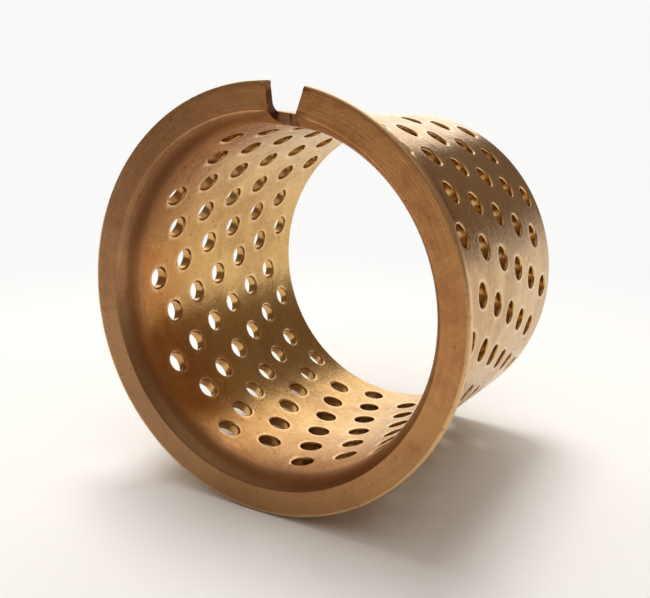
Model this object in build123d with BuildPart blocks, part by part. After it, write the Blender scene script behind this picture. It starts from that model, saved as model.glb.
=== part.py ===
# Wrapped bronze flanged sleeve bushing with through oil holes.
# One strip of bronze is perforated, rolled into a sleeve and flared into a flange.
# Its ends meet in a butt seam at +Z, and a relief notch in the flange stands over the seam.
# Frame: the origin is in the middle of the bore, half way along the bushing. The bore's
# axis is Y, the flange's front face looks towards -Y, the sleeve's plain end towards +Y,
# and +Z is up, through the notch.
from build123d import *
from math import cos, degrees, pi, radians, sin, tan
import os

# strip and sleeve
bore_diameter = 70.0
wall = 2.5
length = 67.0             # over all, from the flange's front face to the plain end
flange_height = 5.0       # the flange stands out this far from the sleeve
flange_thickness = 1.8    # thinner than the sleeve's wall, as the face is machined flat

# flared mouth: an arc that leaves the bore smoothly and meets the front face at a crisp edge
mouth_depth = 5.4         # along the axis
mouth_rise = 2.1          # across the radius
back_fillet = 1.2         # behind the flange, where it leaves the sleeve
rim_round = 0.6           # both edges of the flange's rim

# plain end
lead_in_length = 1.2      # outer lead-in for pressing into a housing
lead_in_angle = 20.0
bore_chamfer = 0.5

# relief notch through the flange, over the seam
notch_mouth_width = 8.1   # at the rim
notch_root_width = 4.9    # at its closed end, at the middle of the wall
notch_depth = 2.9         # from the front face to its closed end, in the bend
notch_corner = 1.4

# butt seam
seam_gap = 0.1
seam_edge_break = 0.25

# oil holes, laid out on the flat strip in slanting rows of six
hole_diameter = 4.6
hole_rim_round = 0.4      # the depth of its rounded rims, inside and outside
hole_rim_flare = 1.15     # radius of the rims' arc over their depth
hole_rim_arc = 80.0       # the arc stops short of 90 degrees, so that it cuts the curved wall
holes_per_row = 6
hole_pitch = 8.9          # along the axis, from hole to hole in a row
row_skew = 3.2            # each hole stands this far round the sleeve from the one before it
row_spacing = 10.11       # from row to row round the sleeve, at the middle of the wall
first_hole_set_back = 11.8  # from the front face
first_row_angle = 8.5     # from the seam, turning from +Z towards +X
seam_land = 1.0           # least metal between a hole's wall and the seam

bore_radius = bore_diameter / 2
outer_radius = bore_radius + wall
flange_radius = outer_radius + flange_height
middle_radius = bore_radius + wall / 2
front_y = -length / 2
rear_y = length / 2
same_size = 0.001         # edges nearer than this in place or radius count as the same

# punch for one oil hole: a straight wall whose two ends flare into the rounded rims
hole_radius = hole_diameter / 2
flare_radius = hole_rim_flare * hole_rim_round
flare_out = flare_radius * (1 - cos(radians(hole_rim_arc)))
flare_up = flare_radius * sin(radians(hole_rim_arc))
outer_tangent = outer_radius - hole_rim_round
bore_tangent = bore_radius + hole_rim_round
with BuildPart() as hole_tool:
    with BuildSketch(Plane.XZ):
        with BuildLine():
            for rim_y, turn in ((outer_tangent, -hole_rim_arc), (bore_tangent, hole_rim_arc)):
                CenterArc((hole_radius + flare_radius, rim_y), flare_radius, 180, turn)
            Line((hole_radius, outer_tangent), (hole_radius, bore_tangent))
            Polyline(
                (hole_radius + flare_out, outer_tangent + flare_up),
                (hole_radius + flare_out, outer_radius + wall),
                (0, outer_radius + wall),
                (0, bore_radius - wall),
                (hole_radius + flare_out, bore_radius - wall),
                (hole_radius + flare_out, bore_tangent - flare_up),
            )
        make_face()
    revolve(axis=Axis.Z)

# rows that fit round the strip, and how far a hole's centre keeps from the seam
hole_rows = int(2 * pi * middle_radius / row_spacing)
keep_off_seam = degrees((hole_radius + seam_land) / middle_radius)

# punch for the relief notch: spreading walls, and rounded corners at its closed end
notch_spread = (notch_mouth_width - notch_root_width) / 2 / (flange_radius - middle_radius)
notch_root_end = Plane((0, front_y + notch_depth, 0), x_dir=(1, 0, 0), z_dir=(0, -1, 0))
notch_corners = []
for radius in (bore_radius - wall, flange_radius + wall):
    half_width = notch_root_width / 2 + notch_spread * (radius - middle_radius)
    notch_corners += [(-half_width, radius), (half_width, radius)]
with BuildPart() as notch_tool:
    with BuildSketch(notch_root_end):
        with BuildLine():
            Polyline(*(notch_corners[i] for i in (0, 1, 3, 2)), close=True)
        make_face()
    extrude(amount=notch_depth + wall)
    end_edges = notch_tool.edges().group_by(Axis.Y)[-1]
    fillet(end_edges.filter_by(Axis.X, reverse=True), notch_corner)

# rolled shell: the half section is drawn in X (radius) and Y (axis), and turned about Y
face_radius = bore_radius + mouth_rise
flange_back_y = front_y + flange_thickness
lead_in_drop = lead_in_length * tan(radians(lead_in_angle))
with BuildPart() as flanged_sleeve:
    with BuildSketch(Plane.XY):
        with BuildLine():
            TangentArc(
                (bore_radius, front_y + mouth_depth), (face_radius, front_y), tangent=(0, -1)
            )
            Polyline(
                (face_radius, front_y),
                (flange_radius, front_y),
                (flange_radius, flange_back_y),
                (outer_radius, flange_back_y),
                (outer_radius, rear_y - lead_in_length),
                (outer_radius - lead_in_drop, rear_y),
                (bore_radius + bore_chamfer, rear_y),
                (bore_radius, rear_y - bore_chamfer),
                (bore_radius, front_y + mouth_depth),
            )
        make_face()
    revolve(axis=Axis.Y)
    rings = flanged_sleeve.edges().filter_by(GeomType.CIRCLE)
    rim_edges = rings.filter_by(lambda ring: abs(ring.radius - flange_radius) < same_size)
    behind_flange = rings.filter_by_position(
        Axis.Y, flange_back_y - same_size, flange_back_y + same_size
    )
    back_edges = behind_flange.filter_by(lambda ring: abs(ring.radius - outer_radius) < same_size)
    fillet(rim_edges, rim_round)
    fillet(back_edges, back_fillet)

    # relief notch
    add(notch_tool.part, mode=Mode.SUBTRACT)

    # butt seam, with its edges broken inside and outside
    with BuildSketch(Plane.XZ):
        with Locations((0, middle_radius)):
            Rectangle(seam_gap, 2 * wall)
        for edge_radius, side in ((outer_radius, 1), (bore_radius, -1)):
            with BuildLine():
                Polyline(
                    (-seam_edge_break, edge_radius + side * seam_edge_break / 2),
                    (0, edge_radius - side * seam_edge_break),
                    (seam_edge_break, edge_radius + side * seam_edge_break / 2),
                    close=True,
                )
            make_face()
    extrude(amount=length, both=True, mode=Mode.SUBTRACT)

    # oil holes: rows slant along the strip, and every second row stands half a pitch back
    hole_places = []
    for row in range(-holes_per_row, hole_rows + holes_per_row):
        for step in range(holes_per_row):
            along = step + (row % 2) / 2
            turn = (row * row_spacing + along * row_skew) / middle_radius
            angle = first_row_angle + degrees(turn)
            if keep_off_seam <= angle <= 360 - keep_off_seam:
                hole_y = front_y + first_hole_set_back + along * hole_pitch
                hole_places.append(Location((0, hole_y, 0), (0, angle, 0)))
    with Locations(hole_places):
        add(hole_tool.part, mode=Mode.SUBTRACT)

flanged_sleeve.part.label = "flanged_sleeve"
os.makedirs("parts", exist_ok=True)
export_step(flanged_sleeve.part, "parts/flanged_sleeve.step")
print("flanged_sleeve:", len(hole_places), "oil holes,", len(flanged_sleeve.part.solids()), "solid")
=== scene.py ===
from math import asin, atan2, cos, hypot, pi, radians, sin, sqrt, tan

import bmesh
import bpy
from mathutils import Euler, Matrix, Vector, noise


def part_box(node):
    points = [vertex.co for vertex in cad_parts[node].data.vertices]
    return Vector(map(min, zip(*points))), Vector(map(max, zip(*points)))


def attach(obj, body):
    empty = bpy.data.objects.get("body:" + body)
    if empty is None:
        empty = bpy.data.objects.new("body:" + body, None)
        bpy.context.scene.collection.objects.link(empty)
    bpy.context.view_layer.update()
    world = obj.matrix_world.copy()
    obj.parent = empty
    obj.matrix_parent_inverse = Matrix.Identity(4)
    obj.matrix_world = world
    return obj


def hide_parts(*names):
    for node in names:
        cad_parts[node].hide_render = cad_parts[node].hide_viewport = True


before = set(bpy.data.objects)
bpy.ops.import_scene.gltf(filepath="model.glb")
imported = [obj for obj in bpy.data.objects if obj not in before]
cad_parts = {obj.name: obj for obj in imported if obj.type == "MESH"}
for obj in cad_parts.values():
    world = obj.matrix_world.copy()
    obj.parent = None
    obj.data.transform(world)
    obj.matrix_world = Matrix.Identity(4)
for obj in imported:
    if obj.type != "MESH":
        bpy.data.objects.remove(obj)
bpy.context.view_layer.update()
mm = 0.001
hair = 0.01 * mm    # nearer than this counts as touching
sleeveLow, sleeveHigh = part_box("flanged_sleeve")
frontY, rearY, flangeRadius = sleeveLow.y, sleeveHigh.y, sleeveHigh.x
print("frame loaded:", [round(v / mm, 2) for v in (frontY, rearY, flangeRadius)])

# the bushing is a flat perforated strip that is flanged and rolled up
bushing = {
    "boreRadius": 35.0 * mm,
    "wall": 2.5 * mm,
    "mouthDepth": 5.4 * mm,        # rounded mouth between bore and flange face
    "mouthRise": 2.1 * mm,
    "backFillet": 1.2 * mm,
    "flangeThickness": 1.8 * mm,
    "bendLag": 1.8,                # how far the back of the bend trails its front
    "bendStart": 4.55 * mm,        # where the bend starts, along the flat strip from the face
    "bendEnd": 0.55 * mm,          # and ends
    "rimAhead": 4.05 * mm,         # the flat strip's front edge, before it is flanged
    "flangeSteps": 5,
    "mouthEdgeRound": 0.12 * mm,   # crisp edge where the mouth meets the flange's face
    "rimRound": 0.6 * mm,
    "leadInLength": 1.2 * mm,
    "leadInAngle": radians(20),
    "plainEndRound": 0.35 * mm,
    "seamGap": 0.1 * mm,
    "cutEdgeRound": 0.14 * mm,     # seam and notch edges, bore side
    "backEdgeRound": 0.32 * mm,    # notch edges, outside
    "notchMouth": 3.46 * mm,       # half widths of the notch in the flat strip, at the rim
    "notchRootWidth": 2.45 * mm,   # and at its closed end
    "notchRoot": 3.35 * mm,        # closed end, along the flat strip from the flange's face
    "notchRootLean": 0.7 * mm,     # its outer edge stands this much further back
    "notchRootDrop": 0.15 * mm,    # and is rolled over by this much
    "notchLeanOver": (0.5, 1.3, 2, 3),    # mm, in full and fading out, along the axis and across
    "wornWidth": 0.5 * mm,         # bright wear beside the holes' rims
    "toningReach": 36.0 * mm,      # the flange's redder skin fades out this far from its face
    "seamEdgeRound": 0.05 * mm,
    "seamSag": 0.4 * mm,           # both ends lie low beside the seam
    "seamSagWidth": 9.0 * mm,
    "sagAhead": 1.2 * mm,          # they start to, this far in front of the notch's closed end
    "sagFadeIn": 1.8 * mm,
    "sagLost": 0.7,                # and lie this part less low on the plain sleeve
    "notchCorner": 1.4 * mm,
    "notchZone": 4.2 * mm,         # all the notch's edges are nearer the face than this
    "notchReach": 8.0 * mm,        # nothing further than this from the seam is moved for the notch
    "notchEase": 1.6 * mm,         # the mesh behind the notch straightens out over this length
    # rows of the mesh round the bend, in mm from the notch's closed end and closest at its corner
    "notchRows": (0.95, 0.65, 0.35, 0, -0.09, -0.3, -0.6, -0.95, -1.25, -1.6, -1.95, -2.3, -2.55),
    "holeRadius": 2.3 * mm,
    "holeRimRound": 0.44 * mm,
    "holesPerRow": 6,
    "holePitch": 8.9 * mm,
    "rowSkew": 3.2 * mm,
    "rowSpacing": 10.11 * mm,
    "firstHoleSetBack": 11.8 * mm,
    "firstRowAngle": radians(8.5),
    "seamLand": 1.0 * mm,
    "cellSide": 6,                 # mesh segments along each side of a hole's cell
    "holeTurn": radians(5.8),      # lines the hole's segments up with the cell's corners
    "spareEnds": 12.0 * mm,        # laid past each end of the strip before it is trimmed
    "sliver": 0.35 * mm,           # mesh edges shorter than this beside the seam are welded
    "seamDip": 0.4 * mm,           # one end of the strip lies a little low at the seam
    "seamDipWidth": 22.0 * mm,
    "waviness": 0.035 * mm,
    "waves": (55, 70, 0.3),        # waves per metre round and along the strip, and their place
    "wavesFadeIn": 8.0 * mm,       # the bend itself stays true
}

middleRadius = bushing["boreRadius"] + bushing["wall"] / 2
stripLength = 2 * pi * middleRadius
firstRow = bushing["firstRowAngle"] * middleRadius
firstHoleY = frontY + bushing["firstHoleSetBack"]
cellsFront = firstHoleY - bushing["holePitch"] / 2
cellsRear = firstHoleY + bushing["holePitch"] * bushing["holesPerRow"]
# flat strip: where the bend starts and ends, and where the flange's rim is
bendStart = frontY + bushing["bendStart"]
bendEnd = frontY + bushing["bendEnd"]
rimLine = frontY - bushing["rimAhead"]


def makeCell(steps, withHole):
    # one slanting cell of the strip, steps segments long, with or without its hole
    side = bushing["cellSide"]
    part = steps / side
    slant = Matrix((
        (bushing["rowSpacing"], bushing["rowSkew"] * part, 0, 0),
        (0, bushing["holePitch"] * part, 0, 0),
        (0, 0, 1, 0),
        (0, 0, 0, 1),
    ))
    cell = bmesh.new()
    bmesh.ops.create_grid(cell, x_segments=side, y_segments=steps, size=0.5, matrix=slant)
    if withHole:
        inner = [v for v in cell.verts if not v.is_boundary]
        bmesh.ops.delete(cell, geom=inner, context="VERTS")
        bmesh.ops.create_circle(
            cell, segments=4 * side, radius=bushing["holeRadius"],
            matrix=Matrix.Rotation(bushing["holeTurn"], 4, "Z"),
        )
        loops = set(cell.edges)
        bmesh.ops.bridge_loops(cell, edges=cell.edges[:])
        spokes = [e for e in cell.edges if e not in loops]
        bmesh.ops.subdivide_edges(cell, edges=spokes, cuts=2, use_grid_fill=True)
        bmesh.ops.recalc_face_normals(cell, faces=cell.faces)
        if sum(f.normal.z for f in cell.faces) < 0:
            bmesh.ops.reverse_faces(cell, faces=cell.faces)
    mesh = bpy.data.meshes.new("cell")
    cell.to_mesh(mesh)
    cell.free()
    return mesh


def layCell(strip, cell, row, along):
    firstNew = len(strip.verts)
    strip.from_mesh(cell)
    strip.verts.ensure_lookup_table()
    place = Vector((
        firstRow + row * bushing["rowSpacing"] + along * bushing["rowSkew"],
        firstHoleY + along * bushing["holePitch"],
        0,
    ))
    bmesh.ops.translate(strip, verts=strip.verts[firstNew:], vec=place)


def weldSlivers(strip, cutVerts, near, width):
    found = bmesh.ops.find_doubles(strip, verts=near, keep_verts=cutVerts, dist=width)
    bmesh.ops.weld_verts(strip, targetmap=found["targetmap"])


def layStrip():
    strip = bmesh.new()
    side = bushing["cellSide"]
    holeCell = makeCell(side, True)
    blankCell = makeCell(side, False)
    halfCell = makeCell(side // 2, False)
    keepOff = bushing["holeRadius"] + bushing["seamLand"]
    perRow = bushing["holesPerRow"]
    lastRow = int(stripLength / bushing["rowSpacing"]) + perRow
    holes = []
    for row in range(-perRow, lastRow):
        odd = row % 2 / 2
        stations = [(step + odd, False) for step in range(perRow)]
        stations.append((-0.25 if odd else perRow - 0.25, True))
        for along, half in stations:
            x = firstRow + row * bushing["rowSpacing"] + along * bushing["rowSkew"]
            if not -bushing["spareEnds"] < x < stripLength + bushing["spareEnds"]:
                continue
            if half:
                layCell(strip, halfCell, row, along)
            elif keepOff <= x <= stripLength - keepOff:
                layCell(strip, holeCell, row, along)
                holes.append((x, firstHoleY + along * bushing["holePitch"]))
            else:
                layCell(strip, blankCell, row, along)
    bmesh.ops.remove_doubles(strip, verts=strip.verts, dist=hair)
    for mesh in (holeCell, blankCell, halfCell):
        bpy.data.meshes.remove(mesh)
    # trim both ends square, half a seam gap short
    halfGap, sliver = bushing["seamGap"] / 2, bushing["sliver"]
    for seamX, outwards in ((halfGap, -1), (stripLength - halfGap, 1)):
        cut = bmesh.ops.bisect_plane(
            strip, geom=strip.verts[:] + strip.edges[:] + strip.faces[:],
            plane_co=(seamX, 0, 0), plane_no=(outwards, 0, 0), clear_outer=True,
        )
        cutVerts = [g for g in cut["geom_cut"] if isinstance(g, bmesh.types.BMVert)]
        near = [v for v in strip.verts if abs(v.co.x - seamX) < 1.5 * sliver]
        weldSlivers(strip, cutVerts, near, sliver)
    print("strip laid:", len(holes), "holes,", len(strip.faces), "faces")
    return strip, holes


def drawOut(strip, line, stops):
    # extrudes the strip's edge at y = line through the given stops, always onwards, so that the
    # strip never folds back on itself
    onwards = [line] + stops
    assert onwards in (sorted(onwards), sorted(onwards, reverse=True)), "the stops are out of order"
    for stop in stops:
        rim = [
            e for e in strip.edges
            if e.is_boundary and all(abs(v.co.y - line) < hair for v in e.verts)
        ]
        moved = bmesh.ops.extrude_edge_only(strip, edges=rim)
        verts = [g for g in moved["geom"] if isinstance(g, bmesh.types.BMVert)]
        bmesh.ops.translate(strip, verts=verts, vec=(0, stop - line, 0))
        line = stop


def shapeNotch(strip, seamX, inwards):
    # half of the relief notch at one end of the strip: a column of the mesh is slid onto the
    # notch's wall and rounded corner, and the faces between it and the seam are taken out
    rootY = frontY + bushing["notchRoot"]
    rootIn, mouthIn = bushing["notchRootWidth"], bushing["notchMouth"]
    corner, reach, easing = bushing["notchCorner"], bushing["notchReach"], bushing["notchEase"]
    spread = atan2(mouthIn - rootIn, rootY - rimLine)
    centreIn = rootIn - corner * (1 - sin(spread)) / cos(spread)

    def outline(y):
        fall = max(0, rootY - y)
        if fall >= corner * (1 - sin(spread)):
            return rootIn + fall * tan(spread)
        return centreIn + sqrt(corner ** 2 - (corner - fall) ** 2)

    def fromSeam(v):
        return (v.co.x - seamX) * inwards

    bendVerts = [
        v for v in strip.verts if v.co.y < cellsFront - 10 * hair and fromSeam(v) < reach
    ]
    columns = sorted({round(fromSeam(v) / mm, 2) for v in bendVerts})
    wanted = (rootIn + mouthIn) / 2 / mm
    column = min(columns[1:], key=lambda c: abs(c - wanted))
    sameColumn = 0.02    # mm
    slid = [v for v in bendVerts if abs(fromSeam(v) / mm - column) < sameColumn]
    inner = [v for v in bendVerts if fromSeam(v) / mm < column - sameColumn]
    for v in slid:
        if v.co.y <= rootY + hair:
            place = outline(v.co.y)
        else:
            ease = min(1, (v.co.y - rootY) / easing)
            place = centreIn + ease * (column * mm - centreIn)
        v.co.x = seamX + inwards * place
    # a column between the seam and the notch's corner is drawn half way in
    halfWay = centreIn * 0.5
    for v in inner:
        if v.co.y < cellsFront - 20 * hair and fromSeam(v) > centreIn * 0.7:
            ease = min(1, max(0, v.co.y - rootY) / easing)
            v.co.x = seamX + inwards * (halfWay + ease * (fromSeam(v) - halfWay))
    slidSet = set(slid)
    gone = [
        f for f in strip.faces
        if f.calc_center_median().y < rootY
        and all(fromSeam(v) < reach for v in f.verts)
        and all(v in slidSet or v in inner for v in f.verts)
    ]
    bmesh.ops.delete(strip, geom=gone, context="FACES")


def sectionPoint(y, high):
    # the flat strip's y, and how far up through the wall (0 bore side, 1 outside), to radius and y
    bore, wall = bushing["boreRadius"], bushing["wall"]
    outer = bore + wall
    mouth, rise, fillet = bushing["mouthDepth"], bushing["mouthRise"], bushing["backFillet"]
    backY = frontY + bushing["flangeThickness"]
    if y > cellsFront:
        drop = max(0, y - (rearY - bushing["leadInLength"])) * tan(bushing["leadInAngle"])
        inside, outside = (bore, y), (outer - drop, y)
    elif y > bendStart:
        run = (cellsFront - y) / (cellsFront - bendStart)
        inside = (bore, cellsFront + run * (frontY + mouth - cellsFront))
        outside = (outer, cellsFront + run * (backY + fillet - cellsFront))
    elif y > bendEnd:
        bend = (bendStart - y) / (bendStart - bendEnd)
        mouthRadius = (mouth ** 2 + rise ** 2) / (2 * rise)
        turn, lag = bend * asin(mouth / mouthRadius), pi / 2 * bend ** bushing["bendLag"]
        inside = (bore + mouthRadius * (1 - cos(turn)), frontY + mouth - mouthRadius * sin(turn))
        outside = (outer + fillet * (1 - cos(lag)), backY + fillet * (1 - sin(lag)))
    else:
        out = (bendEnd - y) / (bendEnd - rimLine)
        inside = (bore + rise + out * (flangeRadius - bore - rise), frontY)
        outside = (outer + fillet + out * (flangeRadius - outer - fillet), backY)
    return (
        inside[0] + high * (outside[0] - inside[0]),
        inside[1] + high * (outside[1] - inside[1]),
    )


def easeIn(t):
    t = min(1, max(0, t))
    return t * t * (3 - 2 * t)


def rollUp(strip):
    around, along, where = bushing["waves"]
    sagStart = frontY + bushing["notchRoot"] - bushing["sagAhead"]
    for v in strip.verts:
        x, y, high = v.co.x, v.co.y, v.co.z / bushing["wall"]
        radius, axial = sectionPoint(y, high)
        sleeve = easeIn((y - cellsFront) / bushing["wavesFadeIn"])
        lowEnd = easeIn((x - stripLength + bushing["seamDipWidth"]) / bushing["seamDipWidth"])
        wave = noise.noise(Vector((x * around, y * along, where))) * bushing["waviness"]
        radius += sleeve * (wave - bushing["seamDip"] * lowEnd)
        beside = 1 - easeIn(min(abs(x), abs(stripLength - x)) / bushing["seamSagWidth"])
        behindNotch = easeIn((y - sagStart) / bushing["sagFadeIn"])
        radius -= bushing["seamSag"] * beside * behindNotch * (1 - bushing["sagLost"] * sleeve)
        angle = x / middleRadius
        v.co = (radius * sin(angle), axial, radius * cos(angle))


def makeBushing():
    strip, holes = layStrip()
    rootY = frontY + bushing["notchRoot"]
    bendStops = [rootY + step * mm for step in bushing["notchRows"]]
    flangeSteps = bushing["flangeSteps"]
    stops = [(cellsFront + bendStart) / 2, bendStart] + bendStops + [bendEnd]
    stops += [bendEnd + (rimLine - bendEnd) * i / flangeSteps for i in range(1, flangeSteps + 1)]
    drawOut(strip, cellsFront, stops)
    drawOut(strip, cellsRear, [rearY - bushing["leadInLength"], rearY])
    halfGap = bushing["seamGap"] / 2
    shapeNotch(strip, halfGap, 1)
    shapeNotch(strip, stripLength - halfGap, -1)
    bmesh.ops.recalc_face_normals(strip, faces=strip.faces)
    if sum(f.normal.z for f in strip.faces) < 0:
        bmesh.ops.reverse_faces(strip, faces=strip.faces)
    bmesh.ops.solidify(strip, geom=strip.faces[:], thickness=bushing["wall"])
    lowest = min(v.co.z for v in strip.verts)
    bmesh.ops.translate(strip, verts=strip.verts, vec=(0, 0, -lowest))
    print("wall:", round(max(v.co.z for v in strip.verts) / mm, 3), "mm,",
          "open edges:", sum(not e.is_manifold for e in strip.edges))

    # sort the sharp edges by where they are, and round each kind by its own amount
    kinds = {"rim": [], "end": [], "hole": [], "seam": [], "cut": [], "back": [], "mouth": []}
    for e in strip.edges:
        a, b = (v.co for v in e.verts)
        if abs(a.z - b.z) > 10 * hair:
            continue
        if len(e.link_faces) != 2 or e.calc_face_angle() < radians(60):
            if a.z < 10 * hair and abs(a.y - bendEnd) + abs(b.y - bendEnd) < hair:
                kinds["mouth"].append(e)
            continue
        middle = (a + b) / 2
        fromSeam = min(middle.x, stripLength - middle.x)
        if abs(a.y - rimLine) < hair and abs(b.y - rimLine) < hair:
            kinds["rim"].append(e)
        elif abs(a.y - rearY) < hair and abs(b.y - rearY) < hair:
            kinds["end"].append(e)
        elif fromSeam < halfGap + hair:
            kinds["seam"].append(e)
        elif middle.y < frontY + bushing["notchZone"]:
            inNotch = middle.y < rootY + hair and a.z > bushing["wall"] / 2
            kinds["back" if inNotch else "cut"].append(e)
        else:
            kinds["hole"].append(e)
    rounds = (
        ("mouth", bushing["mouthEdgeRound"], 2),
        ("hole", bushing["holeRimRound"], 3),
        ("rim", bushing["rimRound"], 4),
        ("end", bushing["plainEndRound"], 2),
        ("seam", bushing["seamEdgeRound"], 1),
        ("cut", bushing["cutEdgeRound"], 2),
        ("back", bushing["backEdgeRound"], 3),
    )
    for kind, offset, segments in rounds:
        edges = [e for e in kinds[kind] if e.is_valid]
        bmesh.ops.bevel(
            strip, geom=edges, offset=offset, offset_type="OFFSET", segments=segments,
            profile=0.5, affect="EDGES", clamp_overlap=False, loop_slide=True, material=-1,
        )
        print("rounded", kind, "edges:", len(edges))

    # the notch was punched along the axis, so the closed end's outer edge stands further back
    leanFull, leanFade, leanHalfWidth, leanSides = (size * mm for size in bushing["notchLeanOver"])
    for v in strip.verts:
        across = min(abs(v.co.x), abs(stripLength - v.co.x))
        if v.co.z > 0.5 * bushing["wall"] and across < 6 * mm:
            near = 1 - easeIn((abs(v.co.y - rootY) - leanFull) / leanFade)
            near *= 1 - easeIn((across - leanHalfWidth) / leanSides)
            v.co.y += bushing["notchRootLean"] * near
            v.co.z -= bushing["notchRootDrop"] * near

    # the flat strip's own measures become the UV map, a tenth of a metre to a tile
    layer = strip.loops.layers.uv.new("strip")
    wearAndSheen = strip.verts.layers.float.new("wearAndSheen")
    flange = strip.verts.layers.float.new("flange")
    cut = strip.verts.layers.float.new("cut")
    for f in strip.faces:
        for corner in f.loops:
            corner[layer].uv = (corner.vert.co.x * 10, (corner.vert.co.y - frontY) * 10 + 0.1)
    reach = bushing["holeRadius"] + bushing["holeRimRound"]
    reachY = frontY + bushing["toningReach"]
    for v in strip.verts:
        # 0 on the sleeve, 1 on the flange, and in between round the mouth
        v[flange] = min(1.0, max(0.0, (reachY - v.co.y) / (reachY - bendEnd)))
        near = min(holes, key=lambda h: (h[0] - v.co.x) ** 2 + (h[1] - v.co.y) ** 2)
        off = hypot(near[0] - v.co.x, near[1] - v.co.y)
        # brightest on the holes' rims, and a little bright on their walls
        onWall = off <= bushing["holeRadius"]
        v[wearAndSheen] = 0.3 if onWall else max(0.0, 1 - abs(off - reach) / bushing["wornWidth"])
        # the flange's rim counts as fully worn: real wear, and a painted highlight along the rim
        if v.co.y < rimLine + bushing["rimRound"] - 2 * hair:
            v[wearAndSheen] = 1.0
    # painted shade: the notch's punched walls are painted dark
    shadedNotchWalls = set()
    for f in strip.faces:
        spot = f.calc_center_median()
        if abs(f.normal.z) < 0.5 and rimLine + bushing["rimRound"] < spot.y < rootY + 1.0 * mm:
            shadedNotchWalls.add(f)
    for f in shadedNotchWalls:
        for v in f.verts:
            outside = [near for near in v.link_faces if near not in shadedNotchWalls]
            v[cut] = 0.0 if any(near.calc_area() > 0.6 * mm ** 2 for near in outside) else 1.0
    rollUp(strip)
    mesh = bpy.data.meshes.new("bushing")
    for f in strip.faces:
        f.smooth = True
    print("volume:", round(strip.calc_volume(signed=True) / mm ** 3), "mm3")
    strip.to_mesh(mesh)
    strip.free()
    piece = bpy.data.objects.new("bushing", mesh)
    bpy.context.scene.collection.objects.link(piece)
    weighted = piece.modifiers.new("even shading", "WEIGHTED_NORMAL")
    weighted.keep_sharp = True
    print("bushing mesh:", sum(len(p.vertices) - 2 for p in mesh.polygons), "triangles")
    return piece


bushingPiece = makeBushing()
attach(bushingPiece, "root")
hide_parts("flanged_sleeve")


def newMaterial(name):
    material = bpy.data.materials.new(name)
    material.use_nodes = True
    nodes = material.node_tree.nodes
    nodes.clear()
    return material, nodes, material.node_tree.links


def newGroup(name, inputs, outputs):
    group = bpy.data.node_groups.new(name, "ShaderNodeTree")
    for socketName, kind, value in inputs:
        socket = group.interface.new_socket(socketName, in_out="INPUT", socket_type=kind)
        if value is not None:
            socket.default_value = value
    for socketName, kind in outputs:
        group.interface.new_socket(socketName, in_out="OUTPUT", socket_type=kind)
    return group, group.nodes.new("NodeGroupInput"), group.nodes.new("NodeGroupOutput")


def mathNode(nodes, links, operation, *values):
    node = nodes.new("ShaderNodeMath")
    node.operation = operation
    for i, value in enumerate(values):
        if isinstance(value, (int, float)):
            node.inputs[i].default_value = value
        else:
            links.new(value, node.inputs[i])
    return node.outputs[0]


def mixColours(nodes, links, amount, a, b, blend="MIX"):
    node = nodes.new("ShaderNodeMix")
    node.data_type = "RGBA"
    node.blend_type = blend
    for i, value in ((0, amount), (6, a), (7, b)):
        if isinstance(value, (int, float, tuple)):
            node.inputs[i].default_value = value
        else:
            links.new(value, node.inputs[i])
    return node.outputs[2]


def mapRange(nodes, links, value, low, high, toLow=0.0, toHigh=1.0):
    node = nodes.new("ShaderNodeMapRange")
    node.interpolation_type = "SMOOTHSTEP"
    links.new(value, node.inputs["Value"])
    for name, number in (
        ("From Min", low), ("From Max", high), ("To Min", toLow), ("To Max", toHigh),
    ):
        node.inputs[name].default_value = number
    return node.outputs["Result"]


def makeStreaks():
    # long thin marks: noise stretched along the first axis of the vector it is given
    group, inside, outside = newGroup(
        "streaks",
        (
            ("Vector", "NodeSocketVector", None), ("Stretch", "NodeSocketVector", (1, 1, 1)),
            ("Scale", "NodeSocketFloat", 1.0), ("Low", "NodeSocketFloat", 0.5),
            ("High", "NodeSocketFloat", 0.7),
        ),
        (("Mask", "NodeSocketFloat"),),
    )
    nodes, links = group.nodes, group.links
    scaled = nodes.new("ShaderNodeVectorMath")
    scaled.operation = "MULTIPLY"
    links.new(inside.outputs["Vector"], scaled.inputs[0])
    links.new(inside.outputs["Stretch"], scaled.inputs[1])
    cloud = nodes.new("ShaderNodeTexNoise")
    cloud.inputs["Detail"].default_value = 4
    cloud.inputs["Roughness"].default_value = 0.6
    links.new(scaled.outputs[0], cloud.inputs["Vector"])
    links.new(inside.outputs["Scale"], cloud.inputs["Scale"])
    band = nodes.new("ShaderNodeMapRange")
    links.new(cloud.outputs["Fac"], band.inputs["Value"])
    links.new(inside.outputs["Low"], band.inputs["From Min"])
    links.new(inside.outputs["High"], band.inputs["From Max"])
    links.new(band.outputs["Result"], outside.inputs["Mask"])
    return group


def placeStreaks(nodes, links, group, vector, stretch, scale, low, high):
    node = nodes.new("ShaderNodeGroup")
    node.node_tree = group
    links.new(vector, node.inputs["Vector"])
    node.inputs["Stretch"].default_value = stretch
    for name, number in (("Scale", scale), ("Low", low), ("High", high)):
        node.inputs[name].default_value = number
    return node.outputs["Mask"]


def noiseNode(nodes, links, vector, scale, detail=4, roughness=0.55, distortion=0.0):
    node = nodes.new("ShaderNodeTexNoise")
    links.new(vector, node.inputs["Vector"])
    for name, number in (
        ("Scale", scale), ("Detail", detail), ("Roughness", roughness), ("Distortion", distortion),
    ):
        node.inputs[name].default_value = number
    return node.outputs["Fac"]


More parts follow.
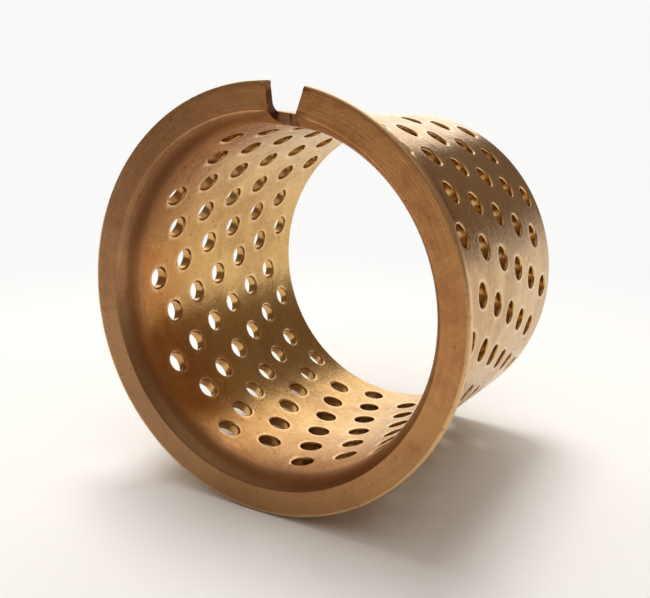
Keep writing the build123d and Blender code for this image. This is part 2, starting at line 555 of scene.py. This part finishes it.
bronzeFinish = {
    "rolled": (0.64, 0.40, 0.14, 1),       # clean rolled bronze of the sleeve
    "toned": (0.40, 0.20, 0.062, 1),       # where it has darkened
    "flange": (0.50, 0.272, 0.13, 1),      # browner skin of the flange, on its -X side
    "flangeToned": (0.33, 0.16, 0.068, 1),
    "flangeLitSide": (0.70, 0.36, 0.14, 1),   # painted light: the flange's +X side, painted lighter and redder
    "flangeLitSideToned": (0.54, 0.25, 0.095, 1),
    "flangeShadedLow": (0.29, 0.165, 0.078, 1),  # painted shade: the flange is darker and browner towards the bottom
    "paintedMouthShade": (0.46, 0.195, 0.054, 1),   # painted dark reflection: a red-brown band on the sleeve by the mouth
    "shadedNotchWalls": (0.12, 0.055, 0.028, 1),    # painted shade on the notch's walls
    "stain": (0.23, 0.095, 0.035, 1),      # dried oil by the bend
    "bright": (0.80, 0.56, 0.30, 1),       # worn rims and scratches, and a painted highlight along the flange's rim
    "grooved": (0.12, 0.06, 0.03, 1),      # fine dark lines
}


def makeBronze():
    finish = bronzeFinish
    material, nodes, links = newMaterial("satinBronze")
    out = nodes.new("ShaderNodeOutputMaterial")
    shader = nodes.new("ShaderNodeBsdfPrincipled")
    links.new(shader.outputs[0], out.inputs[0])
    shader.inputs["Metallic"].default_value = 1.0
    coordinates = nodes.new("ShaderNodeTexCoord")
    place = coordinates.outputs["Object"]
    stripMap = nodes.new("ShaderNodeUVMap")
    stripMap.uv_map = "strip"
    along = stripMap.outputs["UV"]
    wearAndSheen = nodes.new("ShaderNodeAttribute")
    wearAndSheen.attribute_name = "wearAndSheen"
    flange = nodes.new("ShaderNodeAttribute")
    flange.attribute_name = "flange"
    streaks = makeStreaks()

    # colour: cloudy toning on the sleeve, redder on the flange, with painted light and shade across
    # the flange and by the mouth
    cloud = mapRange(nodes, links, noiseNode(nodes, links, place, 52, 7, 0.62, 0.8), 0.38, 0.68)
    speck = mapRange(nodes, links, noiseNode(nodes, links, place, 900, 5, 0.75, 0.3), 0.45, 0.7)
    clouded = mathNode(nodes, links, "MULTIPLY", cloud, 0.6)
    toning = mathNode(nodes, links, "MULTIPLY_ADD", speck, 0.35, clouded)
    sleeveColour = mixColours(nodes, links, toning, finish["rolled"], finish["toned"])
    brownSkin = mixColours(nodes, links, toning, finish["flange"], finish["flangeToned"])
    blotch = mapRange(nodes, links, noiseNode(nodes, links, place, 130, 6, 0.65, 0.5), 0.4, 0.64)
    litSideSkin = mixColours(nodes, links, blotch, finish["flangeLitSide"], finish["flangeLitSideToned"])
    sides = nodes.new("ShaderNodeSeparateXYZ")
    links.new(place, sides.inputs[0])
    # painted light: the flange's skin is painted lighter and redder towards +X
    paintedLitSide = mapRange(nodes, links, sides.outputs["X"], -0.032, 0.014)
    flangeColour = mixColours(nodes, links, paintedLitSide, brownSkin, litSideSkin)
    # painted shade: the flange is painted darker towards its bottom
    low = mapRange(nodes, links, sides.outputs["Z"], 0.012, -0.044)
    paintedLowShade = mathNode(nodes, links, "MULTIPLY", low, 0.7)
    flangeColour = mixColours(nodes, links, paintedLowShade, flangeColour, finish["flangeShadedLow"])
    onFlange = mapRange(nodes, links, flange.outputs["Fac"], 0.79, 0.93)
    # painted dark reflection: a mottled red-brown band on the sleeve near the mouth, stronger
    # towards -X
    mottled = mapRange(nodes, links, noiseNode(nodes, links, place, 85, 8, 0.7, 0.6), 0.36, 0.62)
    shadedLeftSide = mapRange(nodes, links, sides.outputs["X"], 0.03, -0.026, 0.45, 1.0)
    nearFlange = mapRange(nodes, links, flange.outputs["Fac"], 0.0, 0.78)
    paintedMouthShade = mathNode(
        nodes, links, "MULTIPLY",
        mathNode(nodes, links, "MULTIPLY", nearFlange, shadedLeftSide),
        mathNode(nodes, links, "MULTIPLY_ADD", mottled, 0.5, 0.5),
    )
    sleeveColour = mixColours(nodes, links, paintedMouthShade, sleeveColour, finish["paintedMouthShade"])
    colour = mixColours(nodes, links, onFlange, sleeveColour, flangeColour)

    # dried oil runs along the strip just behind the bend
    split = nodes.new("ShaderNodeSeparateXYZ")
    links.new(along, split.inputs[0])
    fromFace = split.outputs["Y"]
    nearBend = mathNode(
        nodes, links, "MULTIPLY",
        mapRange(nodes, links, fromFace, 0.13, 0.2),
        mapRange(nodes, links, fromFace, 0.36, 0.24),
    )
    oil = placeStreaks(nodes, links, streaks, along, (1.0, 3.2, 1), 9, 0.52, 0.66)
    nearTop = mapRange(nodes, links, sides.outputs["Z"], 0.008, 0.026)
    oilOnTop = mathNode(nodes, links, "MULTIPLY", oil, nearTop)
    oily = mathNode(nodes, links, "MULTIPLY", nearBend, oilOnTop)
    stained = mathNode(nodes, links, "MULTIPLY", oily, 0.75)
    colour = mixColours(nodes, links, stained, colour, finish["stain"])

    # turned grooves on the flange, rolling lines on the sleeve, and a few stray scratches
    turned = placeStreaks(nodes, links, streaks, along, (0.15, 11, 1), 22, 0.35, 0.65)
    rolledLines = placeStreaks(nodes, links, streaks, along, (2.5, 26, 1), 14, 0.4, 0.7)
    tilted = nodes.new("ShaderNodeMapping")
    tilted.inputs["Rotation"].default_value = (0, 0, radians(63))
    links.new(along, tilted.inputs["Vector"])
    scratches = placeStreaks(nodes, links, streaks, tilted.outputs[0], (0.6, 26, 1), 6, 0.69, 0.74)
    lines = mixColours(nodes, links, onFlange, rolledLines, turned)
    faintLines = mathNode(nodes, links, "MULTIPLY", lines, 0.16)
    colour = mixColours(nodes, links, faintLines, colour, finish["grooved"])
    # worn rims and scratches are painted brighter; on the flange's rim this is also a painted
    # highlight
    marks = mathNode(
        nodes, links, "MAXIMUM",
        mathNode(nodes, links, "MULTIPLY", scratches, 0.5),
        mathNode(nodes, links, "MULTIPLY", wearAndSheen.outputs["Fac"], 0.55),
    )
    colour = mixColours(nodes, links, marks, colour, finish["bright"])
    pits = mapRange(nodes, links, noiseNode(nodes, links, place, 620, 3, 0.6), 0.64, 0.72)
    darkPits = mathNode(nodes, links, "MULTIPLY", pits, 0.55)
    colour = mixColours(nodes, links, darkPits, colour, finish["stain"])
    # painted shade: the notch's walls are painted dark
    shadedNotchWalls = nodes.new("ShaderNodeAttribute")
    shadedNotchWalls.attribute_name = "cut"
    notchShadePart = mathNode(nodes, links, "MULTIPLY", shadedNotchWalls.outputs["Fac"], 0.85)
    colour = mixColours(nodes, links, notchShadePart, colour, finish["shadedNotchWalls"])
    links.new(colour, shader.inputs["Base Color"])

    # gloss: satin, duller where toned, brighter on rims and in oil
    dull = mathNode(nodes, links, "MULTIPLY_ADD", toning, 0.14, 0.2)
    dull = mathNode(nodes, links, "MULTIPLY_ADD", onFlange, 0.2, dull)
    dull = mathNode(nodes, links, "MULTIPLY_ADD", marks, -0.2, dull)
    dull = mathNode(nodes, links, "MULTIPLY_ADD", oily, -0.08, dull)
    links.new(dull, shader.inputs["Roughness"])

    # relief: pits, grain, lines and a slight unevenness of the sheet
    grain = noiseNode(nodes, links, place, 1500, 3, 0.6)
    uneven = noiseNode(nodes, links, place, 130, 3, 0.5)
    swell = mathNode(nodes, links, "MULTIPLY", uneven, 2.2)
    height = mathNode(nodes, links, "MULTIPLY_ADD", pits, -0.35, swell)
    height = mathNode(nodes, links, "MULTIPLY_ADD", lines, 0.28, height)
    height = mathNode(nodes, links, "MULTIPLY_ADD", grain, 0.65, height)
    height = mathNode(nodes, links, "MULTIPLY_ADD", scratches, -0.3, height)
    relief = nodes.new("ShaderNodeBump")
    relief.inputs["Strength"].default_value = 0.5
    relief.inputs["Distance"].default_value = 0.00012
    links.new(height, relief.inputs["Height"])
    links.new(relief.outputs[0], shader.inputs["Normal"])
    return material


bushingPiece.data.materials.append(makeBronze())


studio = {
    # the bushing lies on its rim and its plain end
    "floorNormal": Vector((-0.09385, -0.07443, 0.9928)),
    "floorPoint": Vector((4.0, -31.6, -42.35)) * mm,
    "floorSize": 6.0,
    "paper": (0.90, 0.893, 0.875, 1),
    "white": (0.955, 0.95, 0.94, 1),
    "dark": (0.22, 0.16, 0.118, 1),
    "ceiling": (0.62, 0.60, 0.57, 1),
    "ceilingFrom": 0.62,    # how high the ceiling starts, from 0 at the horizon to 1 overhead
    "ceilingTo": 0.99,
    "fadeFrom": 0.09,       # the paper fades to white between these distances
    "fadeTo": 0.24,
    "backFrom": 0.03,       # and shines back at the bushing only behind it
    "backTo": 0.2,
    "backGlow": 0.15,
}

# azimuth turns from the back (+Y) towards -X; the last two light only the paper
lamps = {
    "window": {
        "azimuth": 40, "elevation": 27, "distance": 0.95, "size": (1.02, 0.92),
        "radiance": 1.5, "colour": (1, 0.985, 0.96), "glossy": True,
    },
    "floor softbox": {
        "azimuth": 68, "elevation": 72, "distance": 0.9, "size": (0.36, 0.36),
        "radiance": 12.6, "colour": (0.985, 1, 1), "glossy": False,
    },
    "front fill": {
        "azimuth": 205, "elevation": 62, "distance": 1.0, "size": (0.8, 0.8),
        "radiance": 0.6, "colour": (0.985, 1, 1), "glossy": False,
    },
}

view = {
    "place": (85.728 * mm, -169.955 * mm, 47.028 * mm),
    "turn": Euler((radians(71.966), radians(-6.819), radians(30.822)), "XYZ"),
    "lens": 48.07,
    "shift": (0.0258, 0.0631),
}


def makeFloor():
    floorMesh = bmesh.new()
    bmesh.ops.create_grid(floorMesh, x_segments=1, y_segments=1, size=studio["floorSize"])
    mesh = bpy.data.meshes.new("floor")
    floorMesh.to_mesh(mesh)
    floorMesh.free()
    floor = bpy.data.objects.new("floor", mesh)
    floor.rotation_mode = "QUATERNION"
    floor.rotation_quaternion = studio["floorNormal"].to_track_quat("Z", "Y")
    floor.location = studio["floorPoint"]
    bpy.context.scene.collection.objects.link(floor)
    # seen straight on, the paper fades into the white background far from the bushing
    material, nodes, links = newMaterial("palePaper")
    out = nodes.new("ShaderNodeOutputMaterial")
    paper = nodes.new("ShaderNodeBsdfDiffuse")
    paper.inputs["Color"].default_value = studio["paper"]
    white = nodes.new("ShaderNodeEmission")
    white.inputs["Color"].default_value = studio["white"]
    coordinates = nodes.new("ShaderNodeTexCoord")
    length = nodes.new("ShaderNodeVectorMath")
    length.operation = "LENGTH"
    links.new(coordinates.outputs["Object"], length.inputs[0])
    far = mapRange(nodes, links, length.outputs["Value"], studio["fadeFrom"], studio["fadeTo"])
    split = nodes.new("ShaderNodeSeparateXYZ")
    links.new(coordinates.outputs["Object"], split.inputs[0])
    behind = mapRange(nodes, links, split.outputs["Y"], studio["backFrom"], studio["backTo"])
    seen = nodes.new("ShaderNodeLightPath")
    backGlow = studio["backGlow"]
    strength = mathNode(
        nodes, links, "MULTIPLY_ADD", seen.outputs["Is Camera Ray"], -backGlow, 1 + backGlow
    )
    links.new(strength, white.inputs["Strength"])
    glow = mathNode(nodes, links, "MAXIMUM", seen.outputs["Is Camera Ray"], behind)
    mix = nodes.new("ShaderNodeMixShader")
    links.new(mathNode(nodes, links, "MULTIPLY", far, glow), mix.inputs[0])
    links.new(paper.outputs[0], mix.inputs[1])
    links.new(white.outputs[0], mix.inputs[2])
    links.new(mix.outputs[0], out.inputs[0])
    mesh.materials.append(material)


def addLight(name, azimuth, elevation, distance, size, radiance, colour, glossy):
    # an area light aimed at the bushing
    light = bpy.data.lights.new(name, "AREA")
    light.shape = "RECTANGLE"
    light.size, light.size_y = size
    light.energy = radiance * pi * size[0] * size[1]
    light.color = colour
    lamp = bpy.data.objects.new(name, light)
    turn, rise = radians(azimuth), radians(elevation)
    lamp.location = Vector((-sin(turn) * cos(rise), cos(turn) * cos(rise), sin(rise))) * distance
    lamp.rotation_euler = (-lamp.location).to_track_quat("-Z", "Y").to_euler()
    lamp.visible_glossy = glossy
    bpy.context.scene.collection.objects.link(lamp)


def makeWorld():
    world = bpy.data.worlds.new("studio")
    bpy.context.scene.world = world
    world.use_nodes = True
    nodes, links = world.node_tree.nodes, world.node_tree.links
    nodes.clear()
    out = nodes.new("ShaderNodeOutputWorld")
    room = nodes.new("ShaderNodeBackground")
    white = nodes.new("ShaderNodeBackground")
    white.inputs["Color"].default_value = studio["white"]
    coordinates = nodes.new("ShaderNodeTexCoord")
    split = nodes.new("ShaderNodeSeparateXYZ")
    links.new(coordinates.outputs["Generated"], split.inputs[0])
    # a dark room with a light ceiling; the camera itself sees plain white
    ceilingFrom, ceilingTo = studio["ceilingFrom"], studio["ceilingTo"]
    overhead = mapRange(nodes, links, split.outputs["Z"], ceilingFrom, ceilingTo)
    roomColour = mixColours(nodes, links, overhead, studio["dark"], studio["ceiling"])
    links.new(roomColour, room.inputs["Color"])
    seen = nodes.new("ShaderNodeLightPath")
    mix = nodes.new("ShaderNodeMixShader")
    links.new(seen.outputs["Is Camera Ray"], mix.inputs[0])
    links.new(room.outputs[0], mix.inputs[1])
    links.new(white.outputs[0], mix.inputs[2])
    links.new(mix.outputs[0], out.inputs[0])


def makeCamera():
    camera = bpy.data.cameras.new("camera")
    camera.sensor_width = 36
    camera.lens = view["lens"]
    camera.shift_x, camera.shift_y = view["shift"]
    camera.clip_start = 0.01
    camera.clip_end = 50
    eye = bpy.data.objects.new("camera", camera)
    eye.location = view["place"]
    eye.rotation_euler = view["turn"]
    bpy.context.scene.collection.objects.link(eye)
    bpy.context.scene.camera = eye


makeFloor()
makeWorld()
for name, lamp in lamps.items():
    addLight(name, **lamp)
makeCamera()
bpy.context.scene.view_settings.view_transform = "Standard"
print("studio ready")
